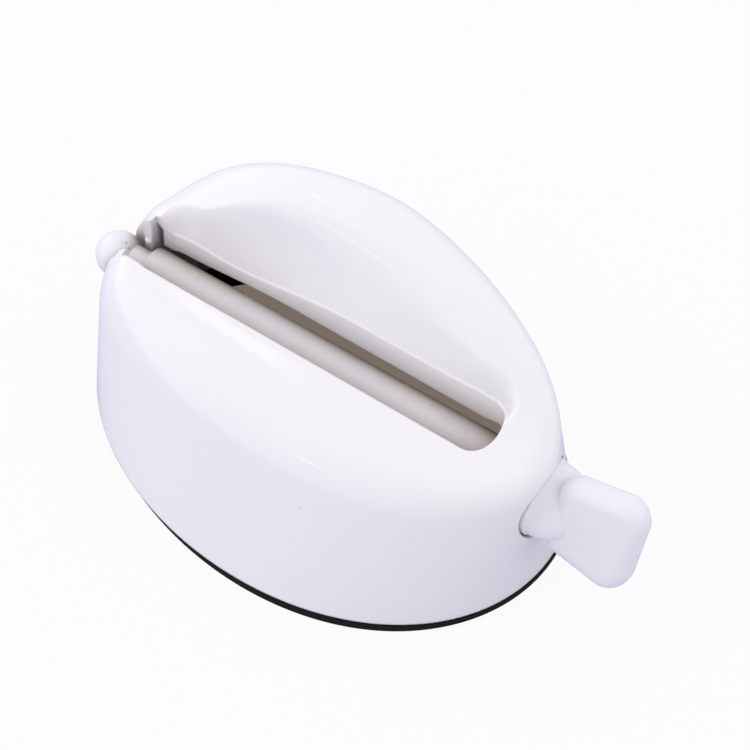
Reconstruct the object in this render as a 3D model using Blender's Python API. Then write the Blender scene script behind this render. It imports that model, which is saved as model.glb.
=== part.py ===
"""Toothpaste dispenser: a hollow housing with a tube slot, a winding key that turns in it,
and a rubber ring under the foot. Metres, +Z up. The slot and the key's shaft run along X,
the low lobe is in front (-Y), the tall lobe behind (+Y) and the paddle of the key is at +X."""
import math

import bmesh
import bpy
from mathutils import Matrix, Vector

# Running fits and cuts
SEAT_GAP = 0.0003
TURN_GAP = 0.00035
CUT_OVERRUN = 0.006

# Foot and outer walls of the housing
FOOT_HALF_LENGTH = 0.0444
FOOT_HALF_WIDTH = 0.0329
LEFT_SET_BACK = 0.0003
RIGHT_SET_BACK = 0.0012
FRONT_LEAN_SHARE = 0.432
BACK_LEAN_SHARE = 0.185
WALL = 0.0020
FRONT_FULLNESS_SHARE = 0.050
BACK_FULLNESS_SHARE = -0.085
FRONT_SQUARENESS_SHARES = (2.0, 2.32)
BACK_SQUARENESS_SHARES = (2.15, 1.80)

# Lobes, measured from the plane that the foot stands on
RIM_HEIGHT = 0.0303
LOBE_RISE = 0.01325
LOBE_PEAK_SHARE = -0.207
LOBE_LEFT_DROP_SHARE = 1.50
LOBE_LEFT_ARCH_SHARE = 3.3
LOBE_RIGHT_DROP_SHARE = 0.60
LOBE_RIGHT_ARCH_SHARE = 1.8
FAR_RIM_DROP = 0.0044
FAR_RIM_DROP_SHARES = (0.027, -0.61)
SCOOP_DEPTH_SHARE = 0.232
SCOOP_END_SHARE = 0.39
STEEPEST_OFFSET_SHARE = 1.5
CREST_SOFTNESS = 0.0026
RAMP_SHARES = (-0.20, 0.471)
LEFT_END_DIP = 0.0042
LEFT_END_DIP_SHARES = (-0.855, -1.0)
FRONT_SHOULDER = 0.0060
BACK_SHOULDER = 0.0062
FRONT_LEFT_SHOULDER = 0.0088
BACK_LEFT_SHOULDER = 0.0044
RIGHT_SHOULDER = 0.0040
SHOULDER_REACH_SHARE = 0.75

# Tube slot and the collar turned down inside it
SLOT_HALF_WIDTH = 0.0050
SLOT_LEFT_SPACE = 0.0064
SLOT_RIGHT_SPACE = 0.0114
SLOT_END_ROUND = 0.0040
SLOT_EDGE = 0.0004
COLLAR_WALL = 0.0016
COLLAR_DEPTH = 0.0059
COLLAR_LEFT_DROP = 0.0023
COLLAR_DROP_SHARE = -0.27
COLLAR_RIGHT_LIFT = 0.0018
COLLAR_LIFT_SHARE = 0.61

# Winding key: its shaft lies along X, this far under the slot's rim
SHAFT_DEPTH = 0.0098
KNOB_RADIUS = 0.0041
KNOB_INSIDE = 0.0006
NECK_RADIUS = 0.0031
NECK_INSIDE = 0.0048
ROLLER_LEFT_SPACE = 0.0006
ROLLER_LEFT_RADIUS = 0.0045
ROLLER_RIGHT_RADIUS = 0.0053
HUB_RADIUS = 0.0070
HUB_INSIDE = 0.0066
HUB_LENGTH = 0.0052
ROOT_LENGTH = 0.0075
ROOT_HALF_THICKNESS = 0.0035
ROOT_HOLLOW_LENGTH = 0.0030
ROOT_TURN_DEGREES = 27.0
SLIT_WIDTH = 0.0020
SLIT_LEFT_SPACE = 0.0039
SLIT_RIGHT_SPACE = 0.0078
GATE_RADIUS = 0.0009
GATE_DEPTH = 0.0002
GATE_LEAN_DEGREES = 24.0

# Paddle of the key
PADDLE_TURN_DEGREES = 65.0
PADDLE_GAP = 0.0004
PADDLE_LENGTH = 0.0161
PADDLE_DROP = 0.0004
PADDLE_ROOT_HALF_WIDTH = 0.0075
PADDLE_TIP_HALF_WIDTH = 0.0089
PADDLE_THICKNESS = 0.0062
PADDLE_EDGE_ROUND = 0.0026
PADDLE_ROOT_CORNER = 0.0036
PADDLE_TIP_CORNER = 0.0046

# Web that carries the left end of the shaft
WEB_INSIDE = 0.0035
WEB_THICKNESS = 0.0019
WEB_DEPTH = 0.0085
NUB_RADIUS = 0.0008
NUB_BITE = 0.0005
NUB_RISE = 0.0030

# Rubber ring under the foot
RING_THICKNESS = 0.0011
RING_WIDTH = 0.0070
RING_INSET = 0.0003
RING_LIP_RISE = 0.0019
RING_LIP_WIDTH = 0.0012

# Facets
ROUND_STEPS = 96
SHAFT_STEPS = 48
WALL_RINGS = 4
SHOULDER_RINGS = 6
TOP_RINGS = 13
ROOT_RINGS = 12
PADDLE_EDGE_RINGS = 4
PADDLE_CORNER_STEPS = 6
SLIVER = 0.0001

# Places that follow from these sizes
FOOT_LEVEL = RING_THICKNESS + SEAT_GAP
FRONT_SET_BACK = FOOT_HALF_WIDTH * FRONT_LEAN_SHARE
BACK_SET_BACK = FOOT_HALF_WIDTH * BACK_LEAN_SHARE
LOBE_HEIGHT = RIM_HEIGHT + LOBE_RISE
SCOOP_DEPTH = FOOT_HALF_WIDTH * SCOOP_DEPTH_SHARE
SLOT_LEFT_X = SLOT_LEFT_SPACE - FOOT_HALF_LENGTH
SLOT_RIGHT_X = FOOT_HALF_LENGTH - SLOT_RIGHT_SPACE
SLOT_MIDDLE_X = (SLOT_LEFT_X + SLOT_RIGHT_X) / 2
SLOT_HALF_LENGTH = (SLOT_RIGHT_X - SLOT_LEFT_X) / 2
COLLAR_BOTTOM = RIM_HEIGHT - COLLAR_DEPTH
SHAFT_HEIGHT = RIM_HEIGHT - SHAFT_DEPTH
KNOB_X = KNOB_INSIDE - FOOT_HALF_LENGTH
NECK_X = NECK_INSIDE - FOOT_HALF_LENGTH
ROLLER_LEFT_X = SLOT_LEFT_X + ROLLER_LEFT_SPACE
HUB_INNER_X = FOOT_HALF_LENGTH - HUB_INSIDE
HUB_OUTER_X = HUB_INNER_X + HUB_LENGTH
SLIT_LEFT_X = ROLLER_LEFT_X + SLIT_LEFT_SPACE
SLIT_RIGHT_X = HUB_INNER_X - SLIT_RIGHT_SPACE
PADDLE_INNER_X = FOOT_HALF_LENGTH + PADDLE_GAP
PADDLE_OUTER_X = PADDLE_INNER_X + PADDLE_LENGTH
WEB_LEFT_X = WEB_INSIDE - FOOT_HALF_LENGTH
WEB_RIGHT_X = WEB_LEFT_X + WEB_THICKNESS
WEB_BOTTOM = SHAFT_HEIGHT - WEB_DEPTH
RING_LIP_HEIGHT = RING_THICKNESS + RING_LIP_RISE


def clear_scene():
    for item in list(bpy.data.objects):
        bpy.data.objects.remove(item, do_unlink=True)


def smooth_step(share):
    share = min(1.0, max(0.0, share))
    return share * share * (3 - 2 * share)


def soft_min(first, second, softness):
    mix = max(0.0, softness - abs(first - second)) / softness
    return min(first, second) - mix * mix * softness / 4


def signed_power(value, power):
    return math.copysign(abs(value) ** power, value)


# Outline and heights of the housing

def wall_point(angle, height, inset):
    """Point of the housing's wall, seen from above, at a height above the table."""
    rise = height / RIM_HEIGHT
    end_set_back = RIGHT_SET_BACK if math.cos(angle) > 0 else LEFT_SET_BACK
    half_length = FOOT_HALF_LENGTH - end_set_back * rise - inset
    if math.sin(angle) < 0:
        half_width = FOOT_HALF_WIDTH - FRONT_SET_BACK * rise - inset
        fullness = FRONT_FULLNESS_SHARE
        low, high = FRONT_SQUARENESS_SHARES
    else:
        half_width = FOOT_HALF_WIDTH - BACK_SET_BACK * rise - inset
        fullness = BACK_FULLNESS_SHARE
        low, high = BACK_SQUARENESS_SHARES
    power = 2 / (low + (high - low) * rise)
    x = half_length * signed_power(math.cos(angle), power)
    y = half_width * signed_power(math.sin(angle), power)
    y *= 1 + fullness * math.cos(angle)
    return x, y


def slot_point(angle, margin):
    """Point of the slot's edge, or of a line that stays a margin outside it."""
    half_length = SLOT_HALF_LENGTH + margin
    round_length = SLOT_END_ROUND + margin
    along = half_length * math.cos(angle)
    into_round = max(0.0, abs(along) - (half_length - round_length)) / round_length
    across = (SLOT_HALF_WIDTH + margin) * math.sqrt(max(0.0, 1 - into_round ** 2))
    return SLOT_MIDDLE_X + along, math.copysign(across, math.sin(angle))


def slot_distance(x, y):
    """Distance of a place outside the slot from the slot's edge."""
    straight = SLOT_HALF_LENGTH - SLOT_END_ROUND
    beyond = max(0.0, abs(x - SLOT_MIDDLE_X) - straight)
    reach = math.hypot(beyond / SLOT_END_ROUND, y / SLOT_HALF_WIDTH)
    length = math.hypot(beyond, y)
    if reach <= 1:
        return 0.0
    return length - length / reach


def far_rim_level(x):
    start, end = [FOOT_HALF_LENGTH * share for share in FAR_RIM_DROP_SHARES]
    return RIM_HEIGHT - FAR_RIM_DROP * smooth_step((start - x) / (start - end))


def left_end_dip(x):
    """Fall of the low lobe at the left end, so that the key's knob stands free."""
    start, end = [FOOT_HALF_LENGTH * share for share in LEFT_END_DIP_SHARES]
    return LEFT_END_DIP * smooth_step((start - x) / (start - end))


def lobe_level(x):
    """Ridge of the tall lobe: an arch that falls gently to the right and quickly at the left."""
    peak_x = FOOT_HALF_LENGTH * LOBE_PEAK_SHARE
    if x > peak_x:
        reach = (x - peak_x) / (FOOT_HALF_LENGTH - peak_x)
        return LOBE_HEIGHT - LOBE_RISE * LOBE_RIGHT_DROP_SHARE * reach ** LOBE_RIGHT_ARCH_SHARE
    reach = (peak_x - x) / (FOOT_HALF_LENGTH + peak_x)
    return LOBE_HEIGHT - LOBE_RISE * LOBE_LEFT_DROP_SHARE * reach ** LOBE_LEFT_ARCH_SHARE


def top_level(x, y):
    """Height of the housing's upper surface above the table."""
    front_y, back_y = [FOOT_HALF_WIDTH * share for share in RAMP_SHARES]
    ramp = smooth_step((y - front_y) / (back_y - front_y))
    front = smooth_step((SLOT_HALF_WIDTH - y) / (2 * SLOT_HALF_WIDTH))
    near = RIM_HEIGHT - left_end_dip(x) * front
    outer = near + (lobe_level(x) - near) * ramp
    along = (x - SLOT_MIDDLE_X) / SLOT_HALF_LENGTH
    depth = SCOOP_DEPTH * max(SCOOP_END_SHARE, 1 - along ** 2)
    climb = (lobe_level(x) - far_rim_level(x)) / depth
    scoop = far_rim_level(x) + climb * slot_distance(x, y)
    scoop += LOBE_RISE * front
    return soft_min(outer, scoop, CREST_SOFTNESS)


def under_level(x, y, depth):
    """Height of a surface that lies a depth inside the upper surface."""
    step = SLIVER
    slope_x = (top_level(x + step, y) - top_level(x - step, y)) / (2 * step)
    slope_y = (top_level(x, y + step) - top_level(x, y - step)) / (2 * step)
    steepness = math.sqrt(1 + slope_x ** 2 + slope_y ** 2)
    return top_level(x, y) - depth * min(steepness, STEEPEST_OFFSET_SHARE)


def collar_level(x):
    drop_x = FOOT_HALF_LENGTH * COLLAR_DROP_SHARE
    lift_x = FOOT_HALF_LENGTH * COLLAR_LIFT_SHARE
    drop = smooth_step((drop_x - x) / (drop_x - SLOT_LEFT_X))
    lift = smooth_step((x - lift_x) / (SLOT_RIGHT_X - lift_x))
    return COLLAR_BOTTOM - COLLAR_LEFT_DROP * drop + COLLAR_RIGHT_LIFT * lift


def shoulder_length(angle, inset):
    side = math.sin(angle) ** 2
    if math.sin(angle) < 0:
        full = FRONT_SHOULDER
        left = FRONT_LEFT_SHOULDER
    else:
        full = BACK_SHOULDER
        left = BACK_LEFT_SHOULDER
    end = RIGHT_SHOULDER if math.cos(angle) > 0 else left
    return max(end + (full - end) * side - inset, SLOT_EDGE)


def wall_top(angle, inset):
    """Height at which the wall, carried on straight, meets the upper surface."""
    low = FOOT_LEVEL
    high = LOBE_HEIGHT
    for _ in range(24):
        middle = (low + high) / 2
        x, y = wall_point(angle, middle, inset)
        if under_level(x, y, inset) > middle:
            low = middle
        else:
            high = middle
    return low


def section(angle, inset, margin, wall_rings, shoulder_rings, top_rings):
    """Points from the foot up the wall, over the shoulder and across to the slot."""
    corner_level = wall_top(angle, inset)
    corner = Vector((*wall_point(angle, corner_level, inset), corner_level))
    edge = slot_point(angle, margin)
    inward = Vector((edge[0] - corner.x, edge[1] - corner.y))
    length = shoulder_length(angle, inset)
    wall_end = corner_level - length
    share = min(length / inward.length, SHOULDER_REACH_SHARE)
    start = Vector((corner.x + inward.x * share, corner.y + inward.y * share))
    points = []
    for ring in range(wall_rings):
        level = FOOT_LEVEL + (wall_end - FOOT_LEVEL) * ring / wall_rings
        points.append(Vector((*wall_point(angle, level, inset), level)))
    low = Vector((*wall_point(angle, wall_end, inset), wall_end))
    high = Vector((start.x, start.y, under_level(start.x, start.y, inset)))
    for ring in range(shoulder_rings):
        t = ring / shoulder_rings
        points.append(low * (1 - t) ** 2 + corner * 2 * t * (1 - t) + high * t ** 2)
    for ring in range(top_rings + 1):
        t = ring / top_rings
        x = start.x + (edge[0] - start.x) * t
        y = start.y + (edge[1] - start.y) * t
        points.append(Vector((x, y, under_level(x, y, inset))))
    return points


def housing_section(angle):
    """One closed section through the wall of the housing, foot to slot and back inside."""
    outer = section(angle, 0, SLOT_EDGE, WALL_RINGS, SHOULDER_RINGS, TOP_RINGS)
    rim = outer[-1].z
    mid_margin = SLOT_EDGE * (1 - math.sqrt(0.5))
    edge_mid = slot_point(angle, mid_margin)
    edge_low = slot_point(angle, 0)
    outer.append(Vector((*edge_mid, rim - mid_margin)))
    outer.append(Vector((*edge_low, rim - SLOT_EDGE)))
    bottom = collar_level(edge_low[0])
    outer.append(Vector((*edge_low, bottom + SLOT_EDGE)))
    outer.append(Vector((*slot_point(angle, SLOT_EDGE), bottom)))
    outer.append(Vector((*slot_point(angle, COLLAR_WALL), bottom)))
    inner = section(angle, WALL, COLLAR_WALL, 2, SHOULDER_RINGS // 2, TOP_RINGS // 2)
    return outer + inner[::-1]


# Mesh helpers

def object_from_bmesh(name, shape, material=None):
    mesh = bpy.data.meshes.new(name)
    bmesh.ops.recalc_face_normals(shape, faces=shape.faces)
    shape.to_mesh(mesh)
    shape.free()
    item = bpy.data.objects.new(name, mesh)
    bpy.context.scene.collection.objects.link(item)
    if material:
        mesh.materials.append(material)
    return item


def skin_rings(name, rings, material=None, joined=False):
    """Skin a row of rings with the same number of points; joined closes it on itself.
    Its faces are triangles, because the twisted ones wouldn't cut cleanly."""
    shape = bmesh.new()
    loops = [[shape.verts.new(point) for point in ring] for ring in rings]
    count = len(rings[0])
    pairs = list(zip(loops, loops[1:]))
    if joined:
        pairs.append((loops[-1], loops[0]))
    else:
        shape.faces.new(loops[0])
        shape.faces.new(loops[-1])
    for first, second in pairs:
        for i in range(count):
            j = (i + 1) % count
            shape.faces.new((first[i], first[j], second[j], second[i]))
    bmesh.ops.triangulate(shape, faces=shape.faces)
    return object_from_bmesh(name, shape, material)


def turned_rings(profile):
    """Rings of a piece turned about the X axis from (x, radius) pairs."""
    rings = []
    for x, radius in profile:
        ring = []
        for i in range(SHAFT_STEPS):
            angle = 2 * math.pi * i / SHAFT_STEPS
            ring.append(Vector((x, radius * math.cos(angle), radius * math.sin(angle))))
        rings.append(ring)
    return rings


def box(name, low, high):
    shape = bmesh.new()
    size = [b - a for a, b in zip(low, high)]
    centre = [(a + b) / 2 for a, b in zip(low, high)]
    bmesh.ops.create_cube(shape, size=1, matrix=Matrix.LocRotScale(centre, None, size))
    return object_from_bmesh(name, shape)


def carve(item, cutter, operation):
    """Join, cut or trim an object with another one and apply the result."""
    modifier = item.modifiers.new("Cut", "BOOLEAN")
    modifier.operation = operation
    modifier.object = cutter
    modifier.solver = "EXACT"
    graph = bpy.context.evaluated_depsgraph_get()
    result = bpy.data.meshes.new_from_object(item.evaluated_get(graph))
    item.modifiers.remove(modifier)
    item.data = result
    bpy.data.objects.remove(cutter, do_unlink=True)


def smooth(item, degrees=35.0):
    item.data.shade_smooth()
    item.data.set_sharp_from_angle(angle=math.radians(degrees))


def plastic(name, colour, roughness):
    material = bpy.data.materials.new(name)
    material.use_nodes = True
    shader = material.node_tree.nodes["Principled BSDF"]
    shader.inputs["Base Color"].default_value = (*colour, 1)
    shader.inputs["Roughness"].default_value = roughness
    shader.inputs["Metallic"].default_value = 0
    return material


# Housing

def u_notch(name, left_x, right_x, radius):
    """Cutter with a round bottom on the shaft's axis and straight sides up through the top."""
    top = LOBE_HEIGHT + CUT_OVERRUN
    outline = [(radius, top), (-radius, top)]
    steps = SHAFT_STEPS // 2
    for i in range(steps + 1):
        angle = math.pi + math.pi * i / steps
        outline.append((radius * math.cos(angle), SHAFT_HEIGHT + radius * math.sin(angle)))
    rings = [[Vector((x, y, z)) for y, z in outline] for x in (left_x, right_x)]
    return skin_rings(name, rings)


def cradle_web():
    """Web across the left end of the housing, trimmed to lie inside its wall."""
    depth = WALL / 2
    angles = [2 * math.pi * i / ROUND_STEPS for i in range(ROUND_STEPS)]
    columns = [section(a, depth, depth, WALL_RINGS, SHOULDER_RINGS, TOP_RINGS) for a in angles]
    rings = list(zip(*columns))
    web = skin_rings("Web", rings)
    low = (WEB_LEFT_X, -FOOT_HALF_WIDTH, WEB_BOTTOM)
    high = (WEB_RIGHT_X, FOOT_HALF_WIDTH, LOBE_HEIGHT)
    carve(web, box("Slab", low, high), "INTERSECT")
    return web


def snap_nub(side):
    """Small round nub on a side of the web's notch that keeps the neck down."""
    notch = NECK_RADIUS + TURN_GAP
    shape = bmesh.new()
    place = Matrix.Translation((
        (WEB_LEFT_X + WEB_RIGHT_X) / 2,
        side * (notch + NUB_RADIUS - NUB_BITE),
        SHAFT_HEIGHT + NUB_RISE,
    ))
    bmesh.ops.create_icosphere(shape, subdivisions=2, radius=NUB_RADIUS, matrix=place)
    return object_from_bmesh("Nub", shape)


def make_housing(material):
    angles = [2 * math.pi * (i + 0.5) / ROUND_STEPS for i in range(ROUND_STEPS)]
    rings = list(zip(*[housing_section(angle) for angle in angles]))
    housing = skin_rings("housing", rings, joined=True)
    carve(housing, cradle_web(), "UNION")
    beyond = -FOOT_HALF_LENGTH - CUT_OVERRUN
    pocket = u_notch("Pocket", beyond, WEB_LEFT_X + SLIVER, KNOB_RADIUS + TURN_GAP)
    carve(housing, pocket, "DIFFERENCE")
    notch = u_notch("Notch", WEB_LEFT_X - SLIVER, SLOT_LEFT_X + SLOT_EDGE, NECK_RADIUS + TURN_GAP)
    carve(housing, notch, "DIFFERENCE")
    inner_end = SLOT_LEFT_X + SLOT_END_ROUND
    channel = u_notch("Channel", WEB_RIGHT_X - SLIVER, inner_end, ROLLER_LEFT_RADIUS + TURN_GAP)
    carve(housing, channel, "DIFFERENCE")
    for side in (-1, 1):
        carve(housing, snap_nub(side), "UNION")
    bore = HUB_RADIUS + TURN_GAP
    hole = turned_rings([(HUB_INNER_X, bore), (FOOT_HALF_LENGTH + CUT_OVERRUN, bore)])
    cutter = skin_rings("Bore", hole)
    cutter.data.transform(Matrix.Translation((0, 0, SHAFT_HEIGHT)))
    carve(housing, cutter, "DIFFERENCE")
    housing.data.materials.clear()
    housing.data.materials.append(material)
    smooth(housing)
    return housing


# Winding key

def shaft_profile():
    profile = []
    steps = 9
    neck_share = math.asin(NECK_RADIUS / KNOB_RADIUS)
    last = math.pi - neck_share
    for i in range(1, steps + 1):
        angle = last * i / steps
        x = KNOB_X - KNOB_RADIUS * math.cos(angle)
        profile.append((x, KNOB_RADIUS * math.sin(angle)))
    profile.append((NECK_X + (NECK_X - profile[-1][0]) / 2, NECK_RADIUS))
    roller_edge = ROLLER_LEFT_RADIUS - NECK_RADIUS
    profile.append((ROLLER_LEFT_X - roller_edge / 2, NECK_RADIUS + roller_edge / 4))
    profile.append((ROLLER_LEFT_X, ROLLER_LEFT_RADIUS))
    hub_edge = (HUB_RADIUS - ROLLER_RIGHT_RADIUS) / 2
    profile.append((HUB_INNER_X - hub_edge, ROLLER_RIGHT_RADIUS))
    profile.append((HUB_INNER_X, HUB_RADIUS - SEAT_GAP))
    profile.append((HUB_INNER_X + SEAT_GAP, HUB_RADIUS))
    profile.append((HUB_OUTER_X - SEAT_GAP, HUB_RADIUS))
    profile.append((HUB_OUTER_X, HUB_RADIUS - SEAT_GAP))
    return profile


def make_root():
    """Oval dome that carries the paddle: round at the hub, then hollowed to a thin nose."""
    start = HUB_RADIUS - SEAT_GAP
    stations = [(HUB_INNER_X + SEAT_GAP, start, start)]
    for i in range(ROOT_RINGS):
        angle = math.pi / 2 * i / ROOT_RINGS
        along = ROOT_LENGTH * math.sin(angle)
        hollow = max(0.0, 1 - along / ROOT_HOLLOW_LENGTH) ** 2
        thin = ROOT_HALF_THICKNESS * math.cos(angle) + (start - ROOT_HALF_THICKNESS) * hollow
        stations.append((HUB_OUTER_X + along, start * math.cos(angle), thin))
    rings = turned_rings([(x, 1) for x, broad, thin in stations])
    for ring, (x, broad, thin) in zip(rings, stations):
        for point in ring:
            point.y *= broad
            point.z *= thin
    return skin_rings("Root", rings)


def paddle_outline(inset):
    """Outline of the paddle, rounded corners, as (x, across) pairs; it hangs a little low."""
    tip_x = PADDLE_OUTER_X - PADDLE_TIP_CORNER
    tip_side = PADDLE_TIP_HALF_WIDTH - PADDLE_TIP_CORNER
    root_x = PADDLE_INNER_X + PADDLE_ROOT_CORNER
    root_side = PADDLE_ROOT_HALF_WIDTH - PADDLE_ROOT_CORNER
    centres = [(tip_x, tip_side, PADDLE_TIP_CORNER), (root_x, root_side, PADDLE_ROOT_CORNER),
               (root_x, -root_side, PADDLE_ROOT_CORNER), (tip_x, -tip_side, PADDLE_TIP_CORNER)]
    points = []
    for quarter, (x, across, full_corner) in enumerate(centres):
        corner = full_corner - inset
        for i in range(PADDLE_CORNER_STEPS + 1):
            angle = math.pi / 2 * (quarter + i / PADDLE_CORNER_STEPS)
            side = across + corner * math.sin(angle) - PADDLE_DROP
            points.append((x + corner * math.cos(angle), side))
    return points


def make_paddle():
    """Flat plate with fully rounded edges, lying in the plane of X and Y."""
    levels = []
    for i in range(PADDLE_EDGE_RINGS + 1):
        angle = math.pi / 2 * (1 - i / PADDLE_EDGE_RINGS)
        inset = PADDLE_EDGE_ROUND * (1 - math.cos(angle))
        height = PADDLE_THICKNESS / 2 - PADDLE_EDGE_ROUND * (1 - math.sin(angle))
        levels.append((inset, height))
    levels += [(inset, -height) for inset, height in reversed(levels)]
    rings = []
    for inset, height in levels:
        rings.append([Vector((x, across, height)) for x, across in paddle_outline(inset)])
    return skin_rings("Paddle", rings)


def gate_mark():
    """Cutter for the shallow round mark that moulding leaves on the end knob."""
    rings = []
    for height in (KNOB_RADIUS - GATE_DEPTH, KNOB_RADIUS + CUT_OVERRUN):
        ring = []
        for i in range(SHAFT_STEPS // 2):
            angle = 4 * math.pi * i / SHAFT_STEPS
            ring.append(Vector((GATE_RADIUS * math.cos(angle), GATE_RADIUS * math.sin(angle), height)))
        rings.append(ring)
    cutter = skin_rings("Gate", rings)
    cutter.data.transform(Matrix.Rotation(math.radians(GATE_LEAN_DEGREES), 4, "Y"))
    cutter.data.transform(Matrix.Translation((KNOB_X, 0, 0)))
    return cutter


def make_key(material):
    """The paddle and the slit are made flat and turned about the shaft together."""
    turn = Matrix.Rotation(math.radians(PADDLE_TURN_DEGREES), 4, "X")
    key = skin_rings("winding_key", turned_rings(shaft_profile()))
    root = make_root()
    root.data.transform(Matrix.Rotation(math.radians(ROOT_TURN_DEGREES), 4, "X"))
    carve(key, root, "UNION")
    paddle = make_paddle()
    paddle.data.transform(turn)
    carve(key, paddle, "UNION")
    reach = ROLLER_RIGHT_RADIUS + CUT_OVERRUN
    low = (SLIT_LEFT_X, -SLIT_WIDTH / 2, -reach)
    high = (SLIT_RIGHT_X, SLIT_WIDTH / 2, reach)
    slit = box("Slit", low, high)
    slit.data.transform(turn)
    carve(key, slit, "DIFFERENCE")
    carve(key, gate_mark(), "DIFFERENCE")
    key.data.materials.clear()
    key.data.materials.append(material)
    key.location = (0, 0, SHAFT_HEIGHT)
    smooth(key)
    return key


# Rubber ring

def make_ring(material):
    lip_outer = WALL + SEAT_GAP
    lip_inner = lip_outer + RING_LIP_WIDTH
    profile = [(RING_INSET, 0), (RING_INSET, RING_THICKNESS), (lip_outer, RING_THICKNESS),
               (lip_outer, RING_LIP_HEIGHT), (lip_inner, RING_LIP_HEIGHT),
               (lip_inner, RING_THICKNESS), (RING_WIDTH, RING_THICKNESS), (RING_WIDTH, 0)]
    rings = []
    for inset, height in profile:
        ring = []
        for i in range(ROUND_STEPS):
            angle = 2 * math.pi * (i + 0.5) / ROUND_STEPS
            ring.append(Vector((*wall_point(angle, height, inset), height)))
        rings.append(ring)
    ring = skin_rings("base_ring", rings, material, joined=True)
    smooth(ring)
    return ring


def main():
    clear_scene()
    make_housing(plastic("gloss white ABS", (0.86, 0.86, 0.88), 0.18))
    make_key(plastic("milky white plastic", (0.84, 0.83, 0.82), 0.25))
    make_ring(plastic("black rubber", (0.015, 0.015, 0.017), 0.7))


main()
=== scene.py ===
"""Looks of the toothpaste dispenser: white gloss housing, milky winding key and black rubber ring
on a white table, seen from above and in front. All places are in the part's frame, in metres.
The housing and the key are made again here in finer steps than the solids, so that the gloss
runs smoothly over them. The ring is plainer than the solid's: narrower, and without its lip."""
import math

import bmesh
import bpy
from mathutils import Matrix, Vector


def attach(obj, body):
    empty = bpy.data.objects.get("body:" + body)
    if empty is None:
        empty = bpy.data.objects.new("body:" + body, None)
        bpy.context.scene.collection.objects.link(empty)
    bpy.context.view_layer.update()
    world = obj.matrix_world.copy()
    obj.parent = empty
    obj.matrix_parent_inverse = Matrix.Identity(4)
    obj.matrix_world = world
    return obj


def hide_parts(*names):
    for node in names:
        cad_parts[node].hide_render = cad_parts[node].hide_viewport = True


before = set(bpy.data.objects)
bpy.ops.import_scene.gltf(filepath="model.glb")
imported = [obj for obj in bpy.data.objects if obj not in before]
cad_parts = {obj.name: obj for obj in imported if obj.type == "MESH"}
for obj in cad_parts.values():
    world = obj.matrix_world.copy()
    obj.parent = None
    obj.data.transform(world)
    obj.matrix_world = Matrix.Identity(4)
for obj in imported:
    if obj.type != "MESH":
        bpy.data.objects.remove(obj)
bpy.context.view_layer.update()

# Running fits and cuts
SEAT_GAP = 0.0003
TURN_GAP = 0.00035
CUT_OVERRUN = 0.006

# Foot and outer walls of the housing
FOOT_HALF_LENGTH = 0.0444
FOOT_HALF_WIDTH = 0.0329
LEFT_SET_BACK = 0.0003
RIGHT_SET_BACK = 0.0012
FRONT_LEAN_SHARE = 0.432
BACK_LEAN_SHARE = 0.185
WALL = 0.0020
FRONT_FULLNESS_SHARE = 0.050
BACK_FULLNESS_SHARE = -0.085
FRONT_SQUARENESS_SHARES = (2.0, 2.32)
BACK_SQUARENESS_SHARES = (2.15, 1.80)

# Lobes, measured from the plane that the foot stands on
RIM_HEIGHT = 0.0303
LOBE_RISE = 0.01325
LOBE_PEAK_SHARE = -0.207
LOBE_LEFT_DROP_SHARE = 1.50
LOBE_LEFT_ARCH_SHARE = 3.3
LOBE_RIGHT_DROP_SHARE = 0.60
LOBE_RIGHT_ARCH_SHARE = 1.8
FAR_RIM_DROP = 0.0044
FAR_RIM_DROP_SHARES = (0.027, -0.61)
SCOOP_DEPTH_SHARE = 0.232
SCOOP_END_SHARE = 0.39
STEEPEST_OFFSET_SHARE = 1.5
CREST_SOFTNESS = 0.0026
RAMP_SHARES = (-0.20, 0.471)
LEFT_END_DIP = 0.0042
LEFT_END_DIP_SHARES = (-0.855, -1.0)
FRONT_SHOULDER = 0.0060
BACK_SHOULDER = 0.0062
FRONT_LEFT_SHOULDER = 0.0088
BACK_LEFT_SHOULDER = 0.0044
RIGHT_SHOULDER = 0.0040
SHOULDER_REACH_SHARE = 0.75

# Where the housing departs from the solid: how much further the front shoulder reaches down the
# wall and in over the top, and where and how far the tall lobe's ramp moves back at the left
FRONT_CROWN_SHARES = (0.30, 0.55)
LEFT_RAMP_PLACE_SHARES = (-0.35, -0.95)
LEFT_RAMP_MORE_SHARES = (0.22, 0.02)

# Tube slot and the collar turned down inside it
SLOT_HALF_WIDTH = 0.0050
SLOT_LEFT_SPACE = 0.0064
SLOT_RIGHT_SPACE = 0.0114
SLOT_END_ROUND = 0.0040
SLOT_EDGE = 0.0004
COLLAR_WALL = 0.0016
COLLAR_DEPTH = 0.0059
COLLAR_LEFT_DROP = 0.0023
COLLAR_DROP_SHARE = -0.27
COLLAR_RIGHT_LIFT = 0.0018
COLLAR_LIFT_SHARE = 0.61

# Winding key: its shaft lies along X, this far under the slot's rim
SHAFT_DEPTH = 0.0098
KNOB_RADIUS = 0.0041
KNOB_INSIDE = 0.0006
NECK_RADIUS = 0.0031
NECK_INSIDE = 0.0048
ROLLER_LEFT_SPACE = 0.0006
ROLLER_LEFT_RADIUS = 0.0045
ROLLER_RIGHT_RADIUS = 0.0053
HUB_RADIUS = 0.0070
HUB_INSIDE = 0.0066
HUB_LENGTH = 0.0052
ROOT_LENGTH = 0.0075
ROOT_HALF_THICKNESS = 0.0035
ROOT_HOLLOW_LENGTH = 0.0030
ROOT_TURN_DEGREES = 27.0
SLIT_WIDTH = 0.0020
SLIT_LEFT_SPACE = 0.0039
SLIT_RIGHT_SPACE = 0.0078
GATE_RADIUS = 0.0009
GATE_LEAN_DEGREES = 24.0

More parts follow.
